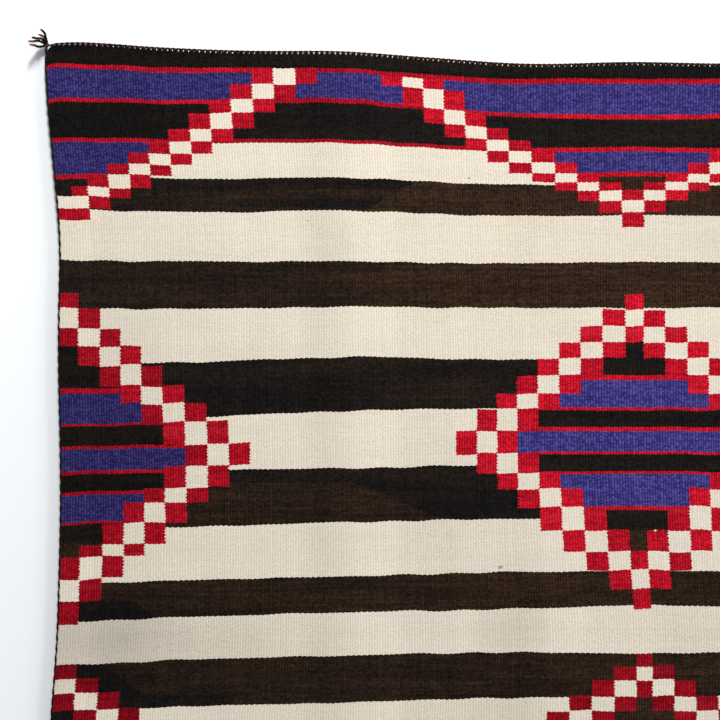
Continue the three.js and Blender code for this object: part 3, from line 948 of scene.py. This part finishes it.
def woven_material():
    """The chart of the pattern, worked in warps and weft lines, and the yarns in it."""
    g = Graph("woven_wool")
    u, w, brown_ground = g.attribute("weave")
    X, Y, _ = g.place()

    # Where two colours meet along the warp, their picks dovetail.
    stagger = g.noise(g.vector(u * 0.11, Y * 95.0, 0.0), detail=1.0)
    beat = Y * (1 / (2 * PICK * MM)) + stagger * 1.3
    tooth = (beat.fract() - 0.5).abs() * 4.0 - 1.0
    eager = g.chance(g.vector(beat.floor(), (u * 0.125).floor(), 8.0))
    ut = u + tooth * (0.04 + 0.34 * eager) + (eager - 0.5) * 0.34

    from_axis = ut.abs()
    from_edge = RIBS - from_axis
    middle = from_axis.below(108.0)  # 1 nearer the middle than a side
    low_half = w.above(12.5)
    away = from_edge.to(from_axis, middle)

    def charted(value, edges, axes, lows=None):
        """How many of the charted edges a place has passed."""
        total = None
        for n, (e, a) in enumerate(zip(edges, axes)):
            edge = g.math("MULTIPLY_ADD", middle, a - e, e)
            if lows:
                edge = edge.to(lows[n], low_half)
            passed = value.above(edge)
            total = passed if total is None else total + passed
        return total

    def tip_at(height):
        return g.math("MULTIPLY_ADD", middle, TIP_RIBS["axis"][height] - TIP_RIBS["edge"][height], TIP_RIBS["edge"][height])

    fold = 12.5 - (w - 12.5).abs()  # the ground is the same from both ends
    in_middle = fold.above(8.6)

    step_mid = ((away - tip_at("mid")) / STEP_RIBS).ceil().least(0.0)
    step_end = ((away - tip_at("top").to(tip_at("bottom"), low_half)) / STEP_RIBS).ceil().least(0.0)
    # No two blocks of a row were beaten down quite alike.
    block = g.chance(g.vector(step_end.to(step_mid, in_middle), ut.above(0.0) + middle * 2.0, in_middle + low_half * 2.0))
    slope = g.noise(g.vector(u * 0.11, w * 1.7, 2.0), detail=1.0)
    beaten = 0.034 * (block - 0.5) + 0.05 * (slope - 0.5)
    row_mid = charted(w + beaten, MID_ROWS_EDGE, MID_ROWS_AXIS)
    inner_mid = (MID_STEPS - (row_mid - (MID_STEPS + 1.0)).abs()) - step_mid
    row_end = len(END_ROWS_EDGE) - charted(fold + beaten, END_ROWS_EDGE, END_ROWS_AXIS, END_ROWS_LOW)
    end_top = g.math("MULTIPLY_ADD", middle, END_TOP["axis"] - END_TOP["edge"], END_TOP["edge"])
    inner_end = row_end - 1.0 - step_end - fold.below(end_top) * 40.0
    inner_end = inner_end + inner_end.is_(2.0) * away.below(SIDE_NOTCH) * (1.0 - middle) * (1.0 - low_half)

    inner = inner_end.to(inner_mid, in_middle)
    ground = inner.below(-0.5)
    ring_red = inner.is_(0.0) + inner.is_(2.0)
    within = inner.above(2.5)

    band = fold.floor()
    outer = fold.below(6.0)
    odd = band.mod(2.0).above(0.5)
    ground_red = outer * odd
    ground_blue = band.is_(2.0)
    ground_dark = band.is_(0.0) + band.is_(4.0) + (1.0 - outer) * odd

    end_fold = fold - low_half * LOW_SHIFT
    blue_to = g.math("MULTIPLY_ADD", middle, END_BLUE["axis"] - END_BLUE["edge"], END_BLUE["edge"])
    red_to = g.math("MULTIPLY_ADD", middle, END_RED["axis"] - END_RED["edge"], END_RED["edge"])
    end_red = ground_red + (1.0 - outer) * end_fold.above(blue_to) * end_fold.below(red_to)
    end_blue = ground_blue + (1.0 - outer) * end_fold.below(blue_to)
    end_dark = (band.is_(0.0) + band.is_(4.0)) + (1.0 - outer) * end_fold.above(red_to)
    stripe = charted(w, MID_STRIPES_EDGE, MID_STRIPES_AXIS)
    mid_red = stripe.mod(2.0).above(0.5)
    mid_blue = stripe.mod(4.0).is_(2.0)
    mid_dark = stripe.mod(4.0).is_(0.0)

    red = ring_red + ground * ground_red + within * end_red.to(mid_red, in_middle)
    blue = ground * ground_blue + within * end_blue.to(mid_blue, in_middle)
    dark = ground * ground_dark + within * end_dark.to(mid_dark, in_middle)

    # Yarn: beads of weft on each rib, runs of yarn along the weft, soiling, and painted shade in the rib valleys and
    # between the beads.
    rib = u.floor()
    pick = Y * (1 / (PICK * MM)) + rib.mod(2.0) * 0.5
    bead_chance = g.chance(g.vector(rib, pick.floor(), 3.0))
    rib_chance = g.chance(g.vector(rib, 7.0, 1.0))
    run = g.noise(g.vector(u * 0.035, Y * 210.0, 1.0), detail=3.0, rough=0.6)
    lot = g.noise(g.vector(u * 0.012, Y * 34.0, 9.0), detail=2.0)
    cloud = g.noise(g.vector(X * 5.0, Y * 5.0, 4.0), detail=3.0)
    speck = g.noise(g.vector(u * 0.9, Y * 420.0, 5.0), detail=2.0)
    valley = ((u.fract() - 0.5).abs() * 2.0).power(3.0)
    seat = ((pick.fract() - 0.5).abs() * 2.0).power(2.0)

    white = g.mix(g.ramp(run * 0.45 + lot * 0.3 + bead_chance * 0.25, 0.34, 0.68), linear(WHITE_LIGHT), linear(WHITE_DULL))
    white = g.mix(g.ramp(cloud, 0.52, 0.78, 0.0, 0.42), white, linear(WHITE_SOILED))
    # The valley and seat terms darken this yarn as painted shade in the rib valleys and between the picks.
    white = g.scaled(white, 0.928 + 0.15 * (bead_chance - 0.3) + 0.36 * (speck - 0.5) - 0.24 * valley * (0.05 + 1.1 * speck) - 0.03 * seat + 0.03 * (rib_chance - 0.5))

    low_brown = g.ramp(w, 14.05, 14.35, 0.0, 0.75) * in_middle + (1.0 - in_middle) * end_fold.above(END_RED["axis"]) * middle * 0.6
    outward = X.abs() * -1.0
    for wedge in WEDGES:
        inside = w.above(wedge["line"]) * w.below(wedge["line"] + 1.0)
        for x0, y0, x1, y1 in wedge["joins"]:
            long = math.hypot(x1 - x0, y1 - y0)
            off = (Y - y0 * MM) * ((x1 - x0) / long) - (outward - x0 * MM) * ((y1 - y0) / long)
            inside = inside * g.ramp(off + (run - 0.5) * (7.0 * MM), -1.2 * MM, 1.2 * MM)
        brown_ground = brown_ground.to(wedge["brown"], inside)
    brown = brown_ground.to(low_brown + 0.05, within)
    brown = g.ramp(brown + 0.34 * (run - 0.5) + 0.30 * (lot - 0.5), 0.22, 0.80)
    dark_wool = g.mix(g.ramp(lot, 0.35, 0.65), linear(BLACK_DEEP), linear(BLACK_SOFT))
    brown_wool = g.mix(g.ramp(run * 0.7 + lot * 0.3, 0.38, 0.64), linear(BROWN_DEEP), linear(BROWN_WARM))
    dark_yarn = g.mix(brown, dark_wool, brown_wool)
    hidden = 1.0 - 0.22 * within * in_middle * (1.0 - middle)  # deeper inside the side diamonds
    # The end bands' black is deeper towards the sides, the upper brown lighter in the middle.
    hidden = hidden - outer * (g.ramp(X.abs(), 0.25, 0.85, 0.0, 0.26) + fold.below(1.0) * 0.14)
    hidden = hidden + ground * w.below(10.5) * w.above(6.5) * g.ramp(X.abs(), 0.38, 0.08, 0.0, 0.14)
    hidden = hidden - ground * w.above(13.0) * g.ramp(w, 13.0, 19.0, 0.05, 0.11)
    # The valley and seat terms darken this yarn as painted shade in the rib valleys and between the picks.
    dark_yarn = g.scaled(dark_yarn, (0.98 + 0.75 * (bead_chance - 0.3) + 0.9 * (speck - 0.5) - 0.72 * valley - 0.2 * seat + 0.2 * (rib_chance - 0.5)).least(0.1) * hidden)

    flecks = g.ramp(bead_chance * 0.36 + run * 0.34 + speck * 0.30, 0.28, 0.88)
    blue_yarn = g.mix(flecks, linear(BLUE_DEEP), linear(BLUE_LIGHT))
    blue_yarn = g.mix(g.ramp(lot, 0.55, 0.8, 0.0, 0.4), blue_yarn, linear(BLUE_VIOLET))
    # The side diamonds' blue was dyed deeper, and the end bands' too towards the sides.
    blue_lot = (in_middle * (1.0 - middle)) * -0.32 + in_middle * middle * 0.17 + (1.0 - in_middle) * g.ramp(X.abs(), 0.15, 0.85, -0.03, -0.31)
    # The valley and seat terms darken this yarn as painted shade in the rib valleys and between the picks.
    blue_yarn = g.scaled(blue_yarn, (1.27 - 1.0 * valley - 0.12 * seat + 0.16 * (rib_chance - 0.5)) * (1.0 + blue_lot))

    red_yarn = g.mix(g.ramp(run * 0.4 + bead_chance * 0.3 + speck * 0.3, 0.32, 0.70), linear(RED_DEEP), linear(RED_BRIGHT))
    red_yarn = g.mix(g.ramp(lot, 0.56, 0.78, 0.0, 0.5), red_yarn, linear(RED_ROSE))
    # Red came from several dye lots: fresh in the middle, duller at the sides and the bottom.
    red_lot = in_middle * middle * g.ramp(w, 9.0, 15.5, 0.36, 0.16) - in_middle * g.ramp(away, 4.0, 40.0, 0.24, 0.04) * (1.0 - middle)
    low_lot = g.ramp(X.abs(), 0.30, 0.85, -0.34, -0.50)
    red_lot = red_lot + (1.0 - in_middle) * (low_half * low_lot + (1.0 - low_half) * (inner.above(-0.5) * g.ramp(away, 2.0, 40.0, -0.12, 0.05).to(0.19, middle) - ground * g.ramp(X.abs(), 0.10, 0.70, 0.08, 0.26)))
    # The valley and seat terms darken this yarn as painted shade in the rib valleys and between the picks.
    red_yarn = g.scaled(red_yarn, (1.14 + 0.10 * (bead_chance - 0.5) + 0.16 * (speck - 0.5) + 0.26 * (block - 0.5) * inner.above(-0.5) + 0.4 * (run - 0.5) - 0.78 * valley - 0.12 * seat + 0.14 * (rib_chance - 0.5)).least(0.15) * (1.0 + red_lot))

    colour = g.mix(dark, white, dark_yarn)
    colour = g.mix(blue, colour, blue_yarn)
    colour = g.mix(red, colour, red_yarn)
    # Painted shade: each patch darkens the colour where less light falls.
    for patch in PAINTED_SHADE_PATCHES:
        dx = (X - patch["x"] * MM) * (1 / (patch["rx"] * MM))
        dy = (Y - patch["y"] * MM) * (1 / (patch["ry"] * MM))
        away_from = (dx * dx + dy * dy).power(0.5) + (cloud - 0.5) * 0.8
        colour = g.scaled(colour, g.ramp(away_from, 0.1, 1.1, 1.0 - patch["dim"], 1.0))
    for mark in MARKS:
        dx = (X - mark["x"] * MM) * (1 / (mark["rx"] * MM))
        dy = (Y - mark["y"] * MM) * (1 / (mark["ry"] * MM))
        away_from = (dx * dx + dy * dy).power(0.5) + (speck - 0.5) * 0.9
        colour = g.mix(g.ramp(away_from, 1.15, 0.45, 0.0, mark["most"]), colour, linear(mark["rgb"]))
    g.tree.links.new(colour, g.shader.inputs["Base Color"])

    fibre = g.noise(g.vector(u * 2.2, Y * 900.0, 6.0), detail=2.0, rough=0.6)
    rough = 0.86 + 0.12 * fibre
    g.feed(g.shader.inputs["Roughness"], rough)
    height = (1.0 - seat) * 0.36 + fibre * 0.32 + speck * 0.42 + bead_chance * 0.22
    g.bump(height, 0.75, 0.45 * MM)
    wool(g.shader, 0.012)
    return g.material


def cord_material(name, deep, warm, tan, sheen=0.02):
    """Twisted wool: fibres laid along each ply, with bands of painted shade along it for the twist's hollows."""
    g = Graph(name)
    along, turn, tint = g.attribute("strand")
    X, Y, Z = g.place()
    lay = g.noise(g.vector(X * 900.0, Y * 900.0, Z * 900.0), detail=2.0, rough=0.6)
    batch = g.noise(g.vector(along * 0.05, turn * 0.1, 2.0), detail=2.0)
    thread = (along * 0.85 + lay * 1.6).op("SINE") * 0.5 + 0.5
    colour = g.mix(g.ramp(batch * 0.6 + lay * 0.4, 0.36, 0.66), linear(deep), linear(warm))
    colour = g.mix((tint * (0.6 + 0.8 * lay)).clamped(), colour, linear(tan))
    # Painted shade: the thread term darkens the yarn in bands along each ply, standing for the twist's hollows.
    colour = g.scaled(colour, 0.78 + 0.34 * thread)
    g.tree.links.new(colour, g.shader.inputs["Base Color"])
    g.feed(g.shader.inputs["Roughness"], 0.84 + 0.14 * lay)
    g.bump(thread * 0.6 + lay * 0.5, 0.6, 0.3 * MM)
    wool(g.shader, sheen)
    return g.material


# sRGB of the yarns as dyed and worn
WHITE_LIGHT, WHITE_DULL, WHITE_SOILED = (224, 214, 198), (214, 204, 188), (203, 191, 172)
BLACK_DEEP, BLACK_SOFT = (20, 18, 18), (29, 24, 21)
BROWN_DEEP, BROWN_WARM = (38, 27, 20), (54, 37, 25)
BLUE_DEEP, BLUE_LIGHT, BLUE_VIOLET = (38, 33, 86), (74, 68, 136), (60, 48, 112)
RED_DEEP, RED_BRIGHT, RED_ROSE = (144, 9, 24), (180, 19, 38), (188, 42, 58)

wool_panel = woven_material()
end_wool = cord_material("end_cord_wool", (34, 24, 21), (80, 48, 36), (120, 88, 56))
side_wool = cord_material("side_cord_wool", (18, 17, 17), (30, 26, 24), (110, 84, 56))
loop_wool = cord_material("warp_wool", (214, 200, 182), (232, 222, 206), (120, 100, 84))
tassel_wool = cord_material("tassel_wool", (11, 9, 10), (34, 19, 18), (190, 130, 88))

for ob, material in (
    [(panel, wool_panel)]
    + [(turns[e], wool_panel) for e in turns]
    + [(cords[e][0], end_wool if e in ("top", "bottom") else side_wool) for e in cords]
    + [(loops[e], loop_wool) for e in loops]
    + [(tassels[c], tassel_wool) for c in tassels]
):
    ob.data.materials.append(material)


# ---- what stands for what -------------------------------------------------------------------

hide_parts("blanket_panel")
for edge, (ob, _, _) in cords.items():
    kind = "end_cord" if edge in ("top", "bottom") else "side_cord"
    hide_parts(f"{kind}_{edge}")
for corner, ob in tassels.items():
    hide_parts(f"tassel_{corner}")
made = [panel, *turns.values(), *(c[0] for c in cords.values()), *loops.values(), *tassels.values()]
for ob in made:
    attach(ob, "root")


# ---- floor, light and camera -----------------------------------------------------------------

def floor():
    me = bpy.data.meshes.new("floor")
    r = 6.0
    me.from_pydata([(-r, -r, -0.0004), (r, -r, -0.0004), (r, r, -0.0004), (-r, r, -0.0004)], [], [(0, 1, 2, 3)])
    ob = bpy.data.objects.new("floor", me)
    bpy.context.scene.collection.objects.link(ob)
    g = Graph("floor_paper")
    g.shader.inputs["Base Color"].default_value = (0.842, 0.862, 0.895, 1.0)
    g.shader.inputs["Roughness"].default_value = 0.9
    g.shader.inputs["Specular IOR Level"].default_value = 0.1
    me.materials.append(g.material)


def light(name, place, aim, size, watts, colour):
    data = bpy.data.lights.new(name, "AREA")
    data.shape = "RECTANGLE"
    data.size, data.size_y = size
    data.energy = watts
    data.color = colour
    ob = bpy.data.objects.new(name, data)
    ob.location = place
    ob.rotation_euler = (Vector(aim) - Vector(place)).to_track_quat("-Z", "Y").to_euler()
    bpy.context.scene.collection.objects.link(ob)


floor()
light("key", (-0.25, 4.3, 2.0), (-0.35, 0.15, 0.0), (0.8, 0.8), 310.0, (1.0, 0.985, 0.96))
light("side", (8.0, 1.2, 2.1), (-0.45, 0.10, 0.0), (4.0, 4.0), 880.0, (1.0, 0.99, 0.97))
world = bpy.data.worlds.new("studio")
world.use_nodes = True
world.node_tree.nodes["Background"].inputs["Color"].default_value = (0.94, 0.97, 1.0, 1.0)
world.node_tree.nodes["Background"].inputs["Strength"].default_value = 0.365
bpy.context.scene.world = world

VIEW_CENTRE = (-0.4095, 0.1245)
VIEW_WIDTH = 1.08
camera = bpy.data.cameras.new("camera")
camera.lens, camera.sensor_width = 85.0, 36.0
camera.clip_end = 50.0
eye = bpy.data.objects.new("camera", camera)
eye.location = (*VIEW_CENTRE, VIEW_WIDTH * camera.lens / camera.sensor_width)
bpy.context.scene.collection.objects.link(eye)
bpy.context.scene.camera = eye
bpy.context.scene.view_settings.view_transform = "Standard"
bpy.context.scene.view_settings.look = "None"
